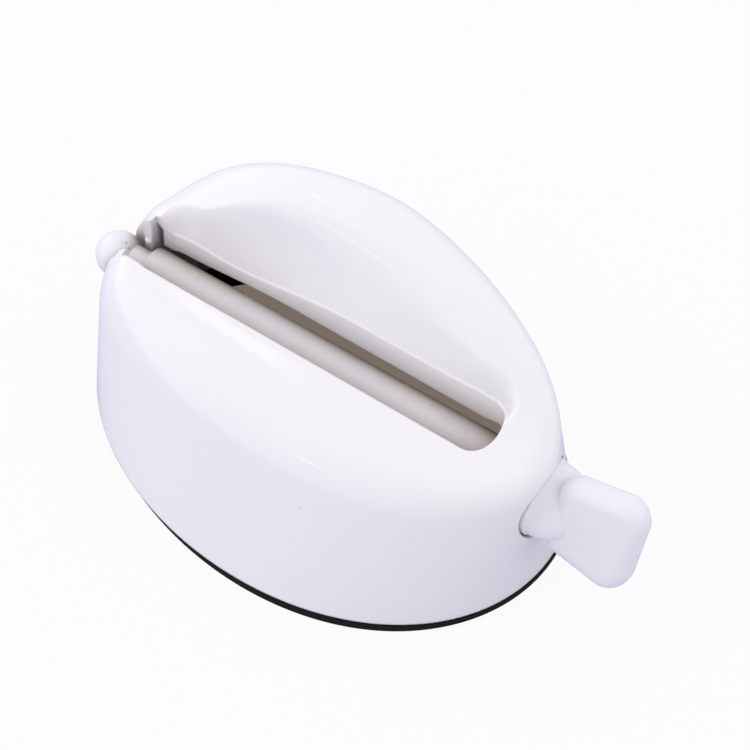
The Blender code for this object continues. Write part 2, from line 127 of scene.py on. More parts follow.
# Paddle of the key
PADDLE_TURN_DEGREES = 65.0
PADDLE_GAP = 0.0004
PADDLE_LENGTH = 0.0161
PADDLE_DROP = 0.0004
PADDLE_ROOT_HALF_WIDTH = 0.0075
PADDLE_TIP_HALF_WIDTH = 0.0089
PADDLE_THICKNESS = 0.0062
PADDLE_EDGE_ROUND = 0.0026
PADDLE_ROOT_CORNER = 0.0036
PADDLE_TIP_CORNER = 0.0046

# Web that carries the left end of the shaft
WEB_INSIDE = 0.0035
WEB_THICKNESS = 0.0019
WEB_DEPTH = 0.0085
NUB_RADIUS = 0.0008
NUB_BITE = 0.0005
NUB_RISE = 0.0030

# Rubber ring under the foot; its edge is drawn in between two cosines of the angle round it
RING_THICKNESS = 0.0011
RING_WIDTH = 0.0050
RING_PROUD = 0.0002
RING_LEFT_INSET = 0.0012
RING_DRAW_SHARES = (0.75, -0.85)
RING_EDGE = 0.0001

# Fine steps, for gloss without facets
ROUND_STEPS = 320
SHAFT_STEPS = 128
WALL_RINGS = 8
SHOULDER_RINGS = 18
TOP_RINGS = 40
EDGE_STEPS = 4
ROOT_RINGS = 30
PADDLE_EDGE_RINGS = 10
PADDLE_CORNER_STEPS = 14
INNER_WALL_RINGS = 2
INNER_SHOULDER_RINGS = SHOULDER_RINGS // 3
INNER_TOP_RINGS = TOP_RINGS // 4
KNOB_RINGS = 30
NUB_SUBDIVISIONS = 4
WALL_TOP_HALVINGS = 24
SHARP_DEGREES = 35.0
SLIVER = 0.0001

# Places that follow from these sizes
FOOT_LEVEL = RING_THICKNESS + SEAT_GAP
FRONT_SET_BACK = FOOT_HALF_WIDTH * FRONT_LEAN_SHARE
BACK_SET_BACK = FOOT_HALF_WIDTH * BACK_LEAN_SHARE
LOBE_HEIGHT = RIM_HEIGHT + LOBE_RISE
SCOOP_DEPTH = FOOT_HALF_WIDTH * SCOOP_DEPTH_SHARE
SLOT_LEFT_X = SLOT_LEFT_SPACE - FOOT_HALF_LENGTH
SLOT_RIGHT_X = FOOT_HALF_LENGTH - SLOT_RIGHT_SPACE
SLOT_MIDDLE_X = (SLOT_LEFT_X + SLOT_RIGHT_X) / 2
SLOT_HALF_LENGTH = (SLOT_RIGHT_X - SLOT_LEFT_X) / 2
COLLAR_BOTTOM = RIM_HEIGHT - COLLAR_DEPTH
SHAFT_HEIGHT = RIM_HEIGHT - SHAFT_DEPTH
KNOB_X = KNOB_INSIDE - FOOT_HALF_LENGTH
NECK_X = NECK_INSIDE - FOOT_HALF_LENGTH
ROLLER_LEFT_X = SLOT_LEFT_X + ROLLER_LEFT_SPACE
HUB_INNER_X = FOOT_HALF_LENGTH - HUB_INSIDE
HUB_OUTER_X = HUB_INNER_X + HUB_LENGTH
SLIT_LEFT_X = ROLLER_LEFT_X + SLIT_LEFT_SPACE
SLIT_RIGHT_X = HUB_INNER_X - SLIT_RIGHT_SPACE
PADDLE_INNER_X = FOOT_HALF_LENGTH + PADDLE_GAP
PADDLE_OUTER_X = PADDLE_INNER_X + PADDLE_LENGTH
WEB_LEFT_X = WEB_INSIDE - FOOT_HALF_LENGTH
WEB_RIGHT_X = WEB_LEFT_X + WEB_THICKNESS
WEB_BOTTOM = SHAFT_HEIGHT - WEB_DEPTH


def smooth_step(share):
    """Rise from 0 to 1 with level ends."""
    share = min(1.0, max(0.0, share))
    return share * share * (3 - 2 * share)


def soft_min(first, second, softness):
    """The lower of two heights, rounded where they cross."""
    mix = max(0.0, softness - abs(first - second)) / softness
    return min(first, second) - mix * mix * softness / 4


def signed_power(value, power):
    return math.copysign(abs(value) ** power, value)


# Outline and heights of the housing

def wall_point(angle, height, inset):
    """Point of the housing's wall, seen from above, at a height above the table."""
    rise = height / RIM_HEIGHT
    end_set_back = RIGHT_SET_BACK if math.cos(angle) > 0 else LEFT_SET_BACK
    half_length = FOOT_HALF_LENGTH - end_set_back * rise - inset
    if math.sin(angle) < 0:
        half_width = FOOT_HALF_WIDTH - FRONT_SET_BACK * rise - inset
        fullness = FRONT_FULLNESS_SHARE
        low, high = FRONT_SQUARENESS_SHARES
    else:
        half_width = FOOT_HALF_WIDTH - BACK_SET_BACK * rise - inset
        fullness = BACK_FULLNESS_SHARE
        low, high = BACK_SQUARENESS_SHARES
    power = 2 / (low + (high - low) * rise)
    x = half_length * signed_power(math.cos(angle), power)
    y = half_width * signed_power(math.sin(angle), power)
    y *= 1 + fullness * math.cos(angle)
    return x, y


def slot_point(angle, margin):
    """Point of the slot's edge, or of a line that stays a margin outside it."""
    half_length = SLOT_HALF_LENGTH + margin
    round_length = SLOT_END_ROUND + margin
    along = half_length * math.cos(angle)
    into_round = max(0.0, abs(along) - (half_length - round_length)) / round_length
    across = (SLOT_HALF_WIDTH + margin) * math.sqrt(max(0.0, 1 - into_round ** 2))
    return SLOT_MIDDLE_X + along, math.copysign(across, math.sin(angle))


def slot_distance(x, y):
    """Distance of a place outside the slot from the slot's edge."""
    straight = SLOT_HALF_LENGTH - SLOT_END_ROUND
    beyond = max(0.0, abs(x - SLOT_MIDDLE_X) - straight)
    reach = math.hypot(beyond / SLOT_END_ROUND, y / SLOT_HALF_WIDTH)
    length = math.hypot(beyond, y)
    if reach <= 1:
        return 0.0
    return length - length / reach


def far_rim_level(x):
    """Height of the slot's far rim, which falls towards the left."""
    start, end = [FOOT_HALF_LENGTH * share for share in FAR_RIM_DROP_SHARES]
    return RIM_HEIGHT - FAR_RIM_DROP * smooth_step((start - x) / (start - end))


def left_end_dip(x):
    """Fall of the low lobe at the left end, so that the key's knob stands free."""
    start, end = [FOOT_HALF_LENGTH * share for share in LEFT_END_DIP_SHARES]
    return LEFT_END_DIP * smooth_step((start - x) / (start - end))


def lobe_level(x):
    """Ridge of the tall lobe: an arch that falls gently to the right and quickly at the left."""
    peak_x = FOOT_HALF_LENGTH * LOBE_PEAK_SHARE
    if x > peak_x:
        reach = (x - peak_x) / (FOOT_HALF_LENGTH - peak_x)
        return LOBE_HEIGHT - LOBE_RISE * LOBE_RIGHT_DROP_SHARE * reach ** LOBE_RIGHT_ARCH_SHARE
    reach = (peak_x - x) / (FOOT_HALF_LENGTH + peak_x)
    return LOBE_HEIGHT - LOBE_RISE * LOBE_LEFT_DROP_SHARE * reach ** LOBE_LEFT_ARCH_SHARE


def top_level(x, y):
    """Height of the housing's upper surface above the table."""
    start, end = [FOOT_HALF_LENGTH * share for share in LEFT_RAMP_PLACE_SHARES]
    left = smooth_step((start - x) / (start - end))
    shares = [share + left * more for share, more in zip(RAMP_SHARES, LEFT_RAMP_MORE_SHARES)]
    front_y, back_y = [FOOT_HALF_WIDTH * share for share in shares]
    ramp = smooth_step((y - front_y) / (back_y - front_y))
    front = smooth_step((SLOT_HALF_WIDTH - y) / (2 * SLOT_HALF_WIDTH))
    near = RIM_HEIGHT - left_end_dip(x) * front
    outer = near + (lobe_level(x) - near) * ramp
    along = (x - SLOT_MIDDLE_X) / SLOT_HALF_LENGTH
    depth = SCOOP_DEPTH * max(SCOOP_END_SHARE, 1 - along ** 2)
    climb = (lobe_level(x) - far_rim_level(x)) / depth
    scoop = far_rim_level(x) + climb * slot_distance(x, y)
    scoop += LOBE_RISE * front
    return soft_min(outer, scoop, CREST_SOFTNESS)


def under_level(x, y, depth):
    """Height of a surface that lies a depth inside the upper surface."""
    if not depth:
        return top_level(x, y)
    step = SLIVER
    slope_x = (top_level(x + step, y) - top_level(x - step, y)) / (2 * step)
    slope_y = (top_level(x, y + step) - top_level(x, y - step)) / (2 * step)
    steepness = math.sqrt(1 + slope_x ** 2 + slope_y ** 2)
    return top_level(x, y) - depth * min(steepness, STEEPEST_OFFSET_SHARE)


def collar_level(x):
    """Lower edge of the collar: lower at the left and higher at the right."""
    drop_x = FOOT_HALF_LENGTH * COLLAR_DROP_SHARE
    lift_x = FOOT_HALF_LENGTH * COLLAR_LIFT_SHARE
    drop = smooth_step((drop_x - x) / (drop_x - SLOT_LEFT_X))
    lift = smooth_step((x - lift_x) / (SLOT_RIGHT_X - lift_x))
    return COLLAR_BOTTOM - COLLAR_LEFT_DROP * drop + COLLAR_RIGHT_LIFT * lift


def shoulder_length(angle, inset):
    """How far the shoulder's round reaches from the corner of wall and upper surface."""
    side = math.sin(angle) ** 2
    if math.sin(angle) < 0:
        full = FRONT_SHOULDER
        left = FRONT_LEFT_SHOULDER
    else:
        full = BACK_SHOULDER
        left = BACK_LEFT_SHOULDER
    end = RIGHT_SHOULDER if math.cos(angle) > 0 else left
    return max(end + (full - end) * side - inset, SLOT_EDGE)


def wall_top(angle, inset):
    """Height at which the wall, carried on straight, meets the upper surface."""
    low = FOOT_LEVEL
    high = LOBE_HEIGHT
    for _ in range(WALL_TOP_HALVINGS):
        middle = (low + high) / 2
        x, y = wall_point(angle, middle, inset)
        if under_level(x, y, inset) > middle:
            low = middle
        else:
            high = middle
    return low


def section(angle, inset, margin, wall_rings, shoulder_rings, top_rings):
    """Points from the foot up the wall, over the shoulder and across to the slot."""
    corner_level = wall_top(angle, inset)
    corner = Vector((*wall_point(angle, corner_level, inset), corner_level))
    edge = slot_point(angle, margin)
    inward = Vector((edge[0] - corner.x, edge[1] - corner.y))
    length = shoulder_length(angle, inset)
    forward = max(0.0, -math.sin(angle))
    wall_end = corner_level - length * (1 + FRONT_CROWN_SHARES[0] * forward)
    reach = length * (1 + FRONT_CROWN_SHARES[1] * forward)
    share = min(reach / inward.length, SHOULDER_REACH_SHARE)
    start = Vector((corner.x + inward.x * share, corner.y + inward.y * share))
    points = []
    for ring in range(wall_rings):
        level = FOOT_LEVEL + (wall_end - FOOT_LEVEL) * ring / wall_rings
        points.append(Vector((*wall_point(angle, level, inset), level)))
    low = Vector((*wall_point(angle, wall_end, inset), wall_end))
    high = Vector((start.x, start.y, under_level(start.x, start.y, inset)))
    for ring in range(shoulder_rings):
        t = ring / shoulder_rings
        points.append(low * (1 - t) ** 2 + corner * 2 * t * (1 - t) + high * t ** 2)
    for ring in range(top_rings + 1):
        t = ring / top_rings
        x = start.x + (edge[0] - start.x) * t
        y = start.y + (edge[1] - start.y) * t
        points.append(Vector((x, y, under_level(x, y, inset))))
    return points


def housing_section(angle):
    """One closed section through the wall of the housing, foot to slot and back inside."""
    outer = section(angle, 0, SLOT_EDGE, WALL_RINGS, SHOULDER_RINGS, TOP_RINGS)
    rim = outer[-1].z
    edge_low = slot_point(angle, 0)
    for i in range(1, EDGE_STEPS + 1):
        turn = math.pi / 2 * i / EDGE_STEPS
        edge = slot_point(angle, SLOT_EDGE * (1 - math.sin(turn)))
        outer.append(Vector((*edge, rim - SLOT_EDGE * (1 - math.cos(turn)))))
    bottom = collar_level(edge_low[0])
    outer.append(Vector((*edge_low, bottom + SLOT_EDGE)))
    outer.append(Vector((*slot_point(angle, SLOT_EDGE), bottom)))
    outer.append(Vector((*slot_point(angle, COLLAR_WALL), bottom)))
    inner = section(angle, WALL, COLLAR_WALL, INNER_WALL_RINGS, INNER_SHOULDER_RINGS,
                    INNER_TOP_RINGS)
    return outer + inner[::-1]


# Mesh helpers

def round_angles(start):
    """Angles of the sections round the housing; start is the first one, in steps."""
    return [2 * math.pi * (i + start) / ROUND_STEPS for i in range(ROUND_STEPS)]


def object_from_bmesh(name, shape):
    mesh = bpy.data.meshes.new(name)
    bmesh.ops.recalc_face_normals(shape, faces=shape.faces)
    shape.to_mesh(mesh)
    shape.free()
    item = bpy.data.objects.new(name, mesh)
    bpy.context.scene.collection.objects.link(item)
    return item


def skin_rings(name, rings, joined=False):
    """Skin a row of rings with the same number of points; joined closes it on itself.
    Its faces are triangles, because the twisted ones wouldn't cut cleanly."""
    shape = bmesh.new()
    loops = [[shape.verts.new(point) for point in ring] for ring in rings]
    count = len(rings[0])
    pairs = list(zip(loops, loops[1:]))
    if joined:
        pairs.append((loops[-1], loops[0]))
    else:
        shape.faces.new(loops[0])
        shape.faces.new(loops[-1])
    for first, second in pairs:
        for i in range(count):
            j = (i + 1) % count
            shape.faces.new((first[i], first[j], second[j], second[i]))
    bmesh.ops.triangulate(shape, faces=shape.faces)
    return object_from_bmesh(name, shape)


def turned_rings(profile):
    """Rings of a piece turned about the X axis from (x, radius) pairs."""
    rings = []
    for x, radius in profile:
        ring = []
        for i in range(SHAFT_STEPS):
            angle = 2 * math.pi * i / SHAFT_STEPS
            ring.append(Vector((x, radius * math.cos(angle), radius * math.sin(angle))))
        rings.append(ring)
    return rings


def box(name, low, high):
    shape = bmesh.new()
    size = [b - a for a, b in zip(low, high)]
    centre = [(a + b) / 2 for a, b in zip(low, high)]
    bmesh.ops.create_cube(shape, size=1, matrix=Matrix.LocRotScale(centre, None, size))
    return object_from_bmesh(name, shape)


def carve(item, cutter, operation):
    """Join, cut or trim an object with another one and apply the result."""
    modifier = item.modifiers.new("Cut", "BOOLEAN")
    modifier.operation = operation
    modifier.object = cutter
    modifier.solver = "EXACT"
    graph = bpy.context.evaluated_depsgraph_get()
    result = bpy.data.meshes.new_from_object(item.evaluated_get(graph))
    item.modifiers.remove(modifier)
    item.data = result
    bpy.data.objects.remove(cutter, do_unlink=True)


def smooth(item):
    item.data.shade_smooth()
    item.data.set_sharp_from_angle(angle=math.radians(SHARP_DEGREES))


# Fine housing

def u_notch(name, left_x, right_x, radius):
    """Cutter with a round bottom on the shaft's axis and straight sides up through the top."""
    top = LOBE_HEIGHT + CUT_OVERRUN
    outline = [(radius, top), (-radius, top)]
    steps = SHAFT_STEPS // 2
    for i in range(steps + 1):
        angle = math.pi + math.pi * i / steps
        outline.append((radius * math.cos(angle), SHAFT_HEIGHT + radius * math.sin(angle)))
    rings = [[Vector((x, y, z)) for y, z in outline] for x in (left_x, right_x)]
    return skin_rings(name, rings)


def cradle_web():
    """Web across the left end of the housing, trimmed to lie inside its wall."""
    depth = WALL / 2
    steps = (WALL_RINGS, SHOULDER_RINGS, TOP_RINGS)
    columns = [section(angle, depth, depth, *steps) for angle in round_angles(0)]
    web = skin_rings("Web", list(zip(*columns)))
    low = (WEB_LEFT_X, -FOOT_HALF_WIDTH, WEB_BOTTOM)
    high = (WEB_RIGHT_X, FOOT_HALF_WIDTH, LOBE_HEIGHT)
    carve(web, box("Slab", low, high), "INTERSECT")
    return web


def snap_nub(side):
    """Small round nub on a side of the web's notch that keeps the neck down."""
    notch = NECK_RADIUS + TURN_GAP
    shape = bmesh.new()
    place = Matrix.Translation((
        (WEB_LEFT_X + WEB_RIGHT_X) / 2,
        side * (notch + NUB_RADIUS - NUB_BITE),
        SHAFT_HEIGHT + NUB_RISE,
    ))
    bmesh.ops.create_icosphere(shape, subdivisions=NUB_SUBDIVISIONS, radius=NUB_RADIUS,
                               matrix=place)
    return object_from_bmesh("Nub", shape)


def make_housing():
    """Shell with its web, cut for the knob, the neck, the roller's end and the hub."""
    columns = [housing_section(angle) for angle in round_angles(0.5)]
    housing = skin_rings("housing_shell", list(zip(*columns)), joined=True)
    carve(housing, cradle_web(), "UNION")
    notches = [
        ("Pocket", -FOOT_HALF_LENGTH - CUT_OVERRUN, WEB_LEFT_X + SLIVER, KNOB_RADIUS),
        ("Notch", WEB_LEFT_X - SLIVER, SLOT_LEFT_X + SLOT_EDGE, NECK_RADIUS),
        ("Channel", WEB_RIGHT_X - SLIVER, SLOT_LEFT_X + SLOT_END_ROUND, ROLLER_LEFT_RADIUS),
    ]
    for name, left_x, right_x, radius in notches:
        carve(housing, u_notch(name, left_x, right_x, radius + TURN_GAP), "DIFFERENCE")
    for side in (-1, 1):
        carve(housing, snap_nub(side), "UNION")
    bore = HUB_RADIUS + TURN_GAP
    hole = turned_rings([(HUB_INNER_X, bore), (FOOT_HALF_LENGTH + CUT_OVERRUN, bore)])
    cutter = skin_rings("Bore", hole)
    cutter.data.transform(Matrix.Translation((0, 0, SHAFT_HEIGHT)))
    carve(housing, cutter, "DIFFERENCE")
    smooth(housing)
    return housing


# Fine key

def shaft_profile():
    """(x, radius) pairs of the round knob, the neck, the tapered roller and the hub."""
    profile = []
    last = math.pi - math.asin(NECK_RADIUS / KNOB_RADIUS)
    for i in range(1, KNOB_RINGS + 1):
        angle = last * i / KNOB_RINGS
        x = KNOB_X - KNOB_RADIUS * math.cos(angle)
        profile.append((x, KNOB_RADIUS * math.sin(angle)))
    profile.append((NECK_X + (NECK_X - profile[-1][0]) / 2, NECK_RADIUS))
    roller_edge = ROLLER_LEFT_RADIUS - NECK_RADIUS
    profile.append((ROLLER_LEFT_X - roller_edge / 2, NECK_RADIUS + roller_edge / 4))
    profile.append((ROLLER_LEFT_X, ROLLER_LEFT_RADIUS))
    hub_edge = (HUB_RADIUS - ROLLER_RIGHT_RADIUS) / 2
    profile.append((HUB_INNER_X - hub_edge, ROLLER_RIGHT_RADIUS))
    profile.append((HUB_INNER_X, HUB_RADIUS - SEAT_GAP))
    profile.append((HUB_INNER_X + SEAT_GAP, HUB_RADIUS))
    profile.append((HUB_OUTER_X - SEAT_GAP, HUB_RADIUS))
    profile.append((HUB_OUTER_X, HUB_RADIUS - SEAT_GAP))
    return profile


def make_root():
    """Oval dome that carries the paddle: round at the hub, then hollowed to a thin nose."""
    start = HUB_RADIUS - SEAT_GAP
    stations = [(HUB_INNER_X + SEAT_GAP, start, start)]
    for i in range(ROOT_RINGS):
        angle = math.pi / 2 * i / ROOT_RINGS
        along = ROOT_LENGTH * math.sin(angle)
        hollow = max(0.0, 1 - along / ROOT_HOLLOW_LENGTH) ** 2
        thin = ROOT_HALF_THICKNESS * math.cos(angle) + (start - ROOT_HALF_THICKNESS) * hollow
        stations.append((HUB_OUTER_X + along, start * math.cos(angle), thin))
    rings = turned_rings([(x, 1) for x, broad, thin in stations])
    for ring, (x, broad, thin) in zip(rings, stations):
        for point in ring:
            point.y *= broad
            point.z *= thin
    return skin_rings("Root", rings)


def paddle_outline(inset):
    """Outline of the paddle, rounded corners, as (x, across) pairs; it hangs a little low."""
    tip_x = PADDLE_OUTER_X - PADDLE_TIP_CORNER
    tip_side = PADDLE_TIP_HALF_WIDTH - PADDLE_TIP_CORNER
    root_x = PADDLE_INNER_X + PADDLE_ROOT_CORNER
    root_side = PADDLE_ROOT_HALF_WIDTH - PADDLE_ROOT_CORNER
    centres = [(tip_x, tip_side, PADDLE_TIP_CORNER), (root_x, root_side, PADDLE_ROOT_CORNER),
               (root_x, -root_side, PADDLE_ROOT_CORNER), (tip_x, -tip_side, PADDLE_TIP_CORNER)]
    points = []
    for quarter, (x, across, full_corner) in enumerate(centres):
        corner = full_corner - inset
        for i in range(PADDLE_CORNER_STEPS + 1):
            angle = math.pi / 2 * (quarter + i / PADDLE_CORNER_STEPS)
            side = across + corner * math.sin(angle) - PADDLE_DROP
            points.append((x + corner * math.cos(angle), side))
    return points


def make_paddle():
    """Flat plate with fully rounded edges, lying in the plane of X and Y."""
    levels = []
    for i in range(PADDLE_EDGE_RINGS + 1):
        angle = math.pi / 2 * (1 - i / PADDLE_EDGE_RINGS)
        inset = PADDLE_EDGE_ROUND * (1 - math.cos(angle))
        height = PADDLE_THICKNESS / 2 - PADDLE_EDGE_ROUND * (1 - math.sin(angle))
        levels.append((inset, height))
    levels += [(inset, -height) for inset, height in reversed(levels)]
    rings = []
    for inset, height in levels:
        rings.append([Vector((x, across, height)) for x, across in paddle_outline(inset)])
    return skin_rings("Paddle", rings)


def make_key():
    """The paddle and the slit are made flat and turned about the shaft together."""
    turn = Matrix.Rotation(math.radians(PADDLE_TURN_DEGREES), 4, "X")
    key = skin_rings("key_turned", turned_rings(shaft_profile()))
    root = make_root()
    root.data.transform(Matrix.Rotation(math.radians(ROOT_TURN_DEGREES), 4, "X"))
    carve(key, root, "UNION")
    paddle = make_paddle()
    paddle.data.transform(turn)
    carve(key, paddle, "UNION")
    reach = ROLLER_RIGHT_RADIUS + CUT_OVERRUN
    low = (SLIT_LEFT_X, -SLIT_WIDTH / 2, -reach)
    high = (SLIT_RIGHT_X, SLIT_WIDTH / 2, reach)
    slit = box("Slit", low, high)
    slit.data.transform(turn)
    carve(key, slit, "DIFFERENCE")
    key.location = (0, 0, SHAFT_HEIGHT)
    smooth(key)
    return key


# Fine rubber ring

def make_ring():
    """Band under the foot: a little proud at the right and drawn in at the left."""
    start, end = RING_DRAW_SHARES
    edge = RING_EDGE
    levels = [(edge, 0), (0, edge), (0, RING_THICKNESS - edge), (edge, RING_THICKNESS),
              (RING_WIDTH, RING_THICKNESS), (RING_WIDTH, 0)]
    rings = []
    for inset, height in levels:
        ring = []
        for angle in round_angles(0.5):
            drawn_in = RING_LEFT_INSET * smooth_step((start - math.cos(angle)) / (start - end))
            edge_place = wall_point(angle, height, inset - RING_PROUD + drawn_in)
            ring.append(Vector((*edge_place, height)))
        rings.append(ring)
    band = skin_rings("ring_band", rings, joined=True)
    smooth(band)
    return band


# Nodes shared by the materials and the sky

NOISE_MIDDLE = (0.3, 0.7)
MIX_SOCKETS = (0, 6, 7)
MIX_RESULT = 2
WHITE = (1.0, 1.0, 1.0)


class Tree:
    """Short calls for building the nodes of a material or of the sky."""

    def __init__(self, owner, coordinates):
        owner.use_nodes = True
        self.nodes = owner.node_tree.nodes
        self.links = owner.node_tree.links
        self.place = self.nodes.new("ShaderNodeTexCoord").outputs[coordinates]

    def link(self, out, socket):
        self.links.new(out, socket)

    def fill(self, socket, value):
        """Give a socket a number or a colour, or link an output to it."""
        if isinstance(value, tuple):
            socket.default_value = (*value, 1)
        elif isinstance(value, (int, float)):
            socket.default_value = value
        else:
            self.link(value, socket)

    def axes(self):
        """X, Y and Z of the place, by name."""
        node = self.nodes.new("ShaderNodeSeparateXYZ")
        self.link(self.place, node.inputs["Vector"])
        return node.outputs

    def measure(self, operation, vector):
        """Distance of the place from a point, or its dot product with a direction."""
        node = self.nodes.new("ShaderNodeVectorMath")
        node.operation = operation
        self.link(self.place, node.inputs[0])
        node.inputs[1].default_value = vector
        return node.outputs["Value"]

    def noise(self, scale, detail):
        node = self.nodes.new("ShaderNodeTexNoise")
        node.inputs["Scale"].default_value = scale
        node.inputs["Detail"].default_value = detail
        self.link(self.place, node.inputs["Vector"])
        return node.outputs["Fac"]

    def spread(self, value, low, high, to_low=0.0, to_high=1.0):
        """Carry a value from one range to another and hold it at the ends."""
        node = self.nodes.new("ShaderNodeMapRange")
        ends = {"From Min": low, "From Max": high, "To Min": to_low, "To Max": to_high}
        for name, end in ends.items():
            node.inputs[name].default_value = end
        self.link(value, node.inputs["Value"])
        return node.outputs["Result"]

    def combine(self, operation, first, second):
        """Sum, product or the like of two numbers."""
        node = self.nodes.new("ShaderNodeMath")
        node.operation = operation
        self.fill(node.inputs[0], first)
        self.fill(node.inputs[1], second)
        return node.outputs["Value"]

    def mix(self, factor, first, second):
        """Blend of two colours."""
        node = self.nodes.new("ShaderNodeMix")
        node.data_type = "RGBA"
        for number, value in zip(MIX_SOCKETS, (factor, first, second)):
            self.fill(node.inputs[number], value)
        return node.outputs[MIX_RESULT]

    def show(self, factor, first, second, output):
        """Blend of two shaders, sent to the tree's output."""
        node = self.nodes.new("ShaderNodeMixShader")
        self.link(factor, node.inputs["Fac"])
        self.link(first, node.inputs[1])
        self.link(second, node.inputs[2])
        self.link(node.outputs["Shader"], self.nodes[output].inputs["Surface"])

    def camera_ray(self):
        return self.nodes.new("ShaderNodeLightPath").outputs["Is Camera Ray"]


class Surface(Tree):
    """A material's nodes, and short calls for what only a surface has."""

    def __init__(self, name):
        self.material = bpy.data.materials.new(name)
        super().__init__(self.material, "Object")
        self.shader = self.nodes["Principled BSDF"]

    def put(self, name, value):
        """Give the shader's input of this name a value or an output."""
        self.fill(self.shader.inputs[name], value)

    def roughness(self, noise, low, high):
        """Roughness that wanders between two values with a noise."""
        self.put("Roughness", self.spread(noise, *NOISE_MIDDLE, low, high))

    def bump(self, height, distance, strength, normal=None):
        node = self.nodes.new("ShaderNodeBump")
        node.inputs["Distance"].default_value = distance
        node.inputs["Strength"].default_value = strength
        self.link(height, node.inputs["Height"])
        if normal:
            self.link(normal, node.inputs["Normal"])
        return node.outputs["Normal"]


# Materials

HOUSING_WHITES = ((0.815, 0.80, 0.80), (0.838, 0.823, 0.822))
HOUSING_EDGE_ROUND = 0.0005
BEVEL_SAMPLES = 6
DUST_COLOUR = (0.66, 0.65, 0.64)
DUST_CORE_SHARE = 0.5
KEY_WHITES = ((0.785, 0.775, 0.79), (0.80, 0.79, 0.805))
# Painted shade on the key deep inside the housing: its brown, how far the occlusion looks, its
# samples and its open shares
PAINTED_SHADE_BROWN = (0.35, 0.275, 0.215)
PAINTED_SHADE_REACH = 0.0125
PAINTED_SHADE_SAMPLES = 24
PAINTED_SHADE_OPEN_SHARES = (0.85, 0.30)
GATE_BROWN = (0.40, 0.21, 0.11)
GATE_FADE_SHARES = (1.1, 0.8)
GATE_FLECK_SHARES = (0.54, 0.62)
RUBBER_BLACKS = ((0.005, 0.005, 0.006), (0.012, 0.012, 0.013))


def edge_normal(tree, radius):
    """Normal that rounds the piece's edges, as a mould leaves them."""
    node = tree.nodes.new("ShaderNodeBevel")
    node.samples = BEVEL_SAMPLES
    node.inputs["Radius"].default_value = radius
    return node.outputs["Normal"]


def painted_recess_shade(tree, colour):
    """Painted shade: a warmer, darker colour for the part of the key inside the housing, where it
    lies deep between walls, darker the more it is shut in. The light alone doesn't give this
    shade."""
    node = tree.nodes.new("ShaderNodeAmbientOcclusion")
    node.samples = PAINTED_SHADE_SAMPLES
    node.inputs["Distance"].default_value = PAINTED_SHADE_REACH
    painted_shade_amount = tree.spread(node.outputs["AO"], *PAINTED_SHADE_OPEN_SHARES)
    inside = tree.spread(tree.axes()["X"], SLOT_RIGHT_X + WALL, SLOT_RIGHT_X)
    return tree.mix(tree.combine("MULTIPLY", painted_shade_amount, inside), colour, PAINTED_SHADE_BROWN)


def gate_specks(tree, colour):
    """A few scorched brown flecks where the key's knob was cut from its mould."""
    lean = math.radians(GATE_LEAN_DEGREES)
    gate = Vector((KNOB_X + KNOB_RADIUS * math.sin(lean), 0, KNOB_RADIUS * math.cos(lean)))
    start, end = [GATE_RADIUS * share for share in GATE_FADE_SHARES]
    near = tree.spread(tree.measure("DISTANCE", gate), start, end)
    fleck = tree.spread(tree.noise(scale=1900, detail=3), *GATE_FLECK_SHARES)
    return tree.mix(tree.combine("MULTIPLY", near, fleck), colour, GATE_BROWN)


def specks(tree, scale, size, share):
    """Sparse small dots: 1 inside a dot, in a share of the cells."""
    cells = tree.nodes.new("ShaderNodeTexVoronoi")
    cells.inputs["Scale"].default_value = scale
    tree.link(tree.place, cells.inputs["Vector"])
    dot = tree.spread(cells.outputs["Distance"], size, size * DUST_CORE_SHARE)
    picked = tree.nodes.new("ShaderNodeSeparateColor")
    tree.link(cells.outputs["Color"], picked.inputs["Color"])
    kept = tree.combine("LESS_THAN", picked.outputs["Red"], share)
    return tree.combine("MULTIPLY", dot, kept)


def gloss_white():
    """Glossy white moulding: faint flow in the colour, slight waves and dust specks."""
    tree = Surface("gloss_white_ABS")
    colour = tree.mix(tree.noise(scale=38, detail=3), *HOUSING_WHITES)
    dust = specks(tree, scale=400, size=0.09, share=0.022)
    tree.put("Base Color", tree.mix(dust, colour, DUST_COLOUR))
    tree.roughness(tree.noise(scale=90, detail=4), low=0.11, high=0.17)
    edges = edge_normal(tree, HOUSING_EDGE_ROUND)
    flow = tree.noise(scale=55, detail=2)
    waves = tree.bump(flow, distance=0.00012, strength=0.35, normal=edges)
    tree.put("Normal", tree.bump(dust, distance=0.00004, strength=0.6, normal=waves))
    tree.put("Specular IOR Level", 0.5)
    tree.put("Coat Weight", 0.15)
    tree.put("Coat Roughness", 0.05)
    return tree.material


def milky_white():
    """Softer white of the key, with fine mould grain."""
    tree = Surface("milky_white_plastic")
    colour = tree.mix(tree.noise(scale=60, detail=3), *KEY_WHITES)
    colour = gate_specks(tree, colour)
    # Painted shade: the key's colour turns darker and browner where it lies deep inside the
    # housing
    tree.put("Base Color", painted_recess_shade(tree, colour))
    tree.roughness(tree.noise(scale=130, detail=2), low=0.21, high=0.28)
    grain = tree.noise(scale=110, detail=2)
    tree.put("Normal", tree.bump(grain, distance=0.0001, strength=0.15))
    return tree.material


def black_rubber():
    """Matt black rubber with a fine skin grain."""
    tree = Surface("black_rubber")
    tree.put("Base Color", tree.mix(tree.noise(scale=120, detail=3), *RUBBER_BLACKS))
    tree.roughness(tree.noise(scale=400, detail=3), low=0.55, high=0.75)
    grain = tree.noise(scale=2500, detail=2)
    tree.put("Normal", tree.bump(grain, distance=0.00003, strength=0.5))
    tree.put("Specular IOR Level", 0.12)
    return tree.material


def dress(piece, material):
    piece.data.materials.clear()
    piece.data.materials.append(material)


housing_shell = make_housing()
dress(housing_shell, gloss_white())
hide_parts("housing")
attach(housing_shell, "body")
key_turned = make_key()
dress(key_turned, milky_white())
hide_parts("winding_key")
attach(key_turned, "key")
ring_band = make_ring()
dress(ring_band, black_rubber())
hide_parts("base_ring")
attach(ring_band, "body")


# Table: near white to the camera, so that only a trace of the object's shadow shows

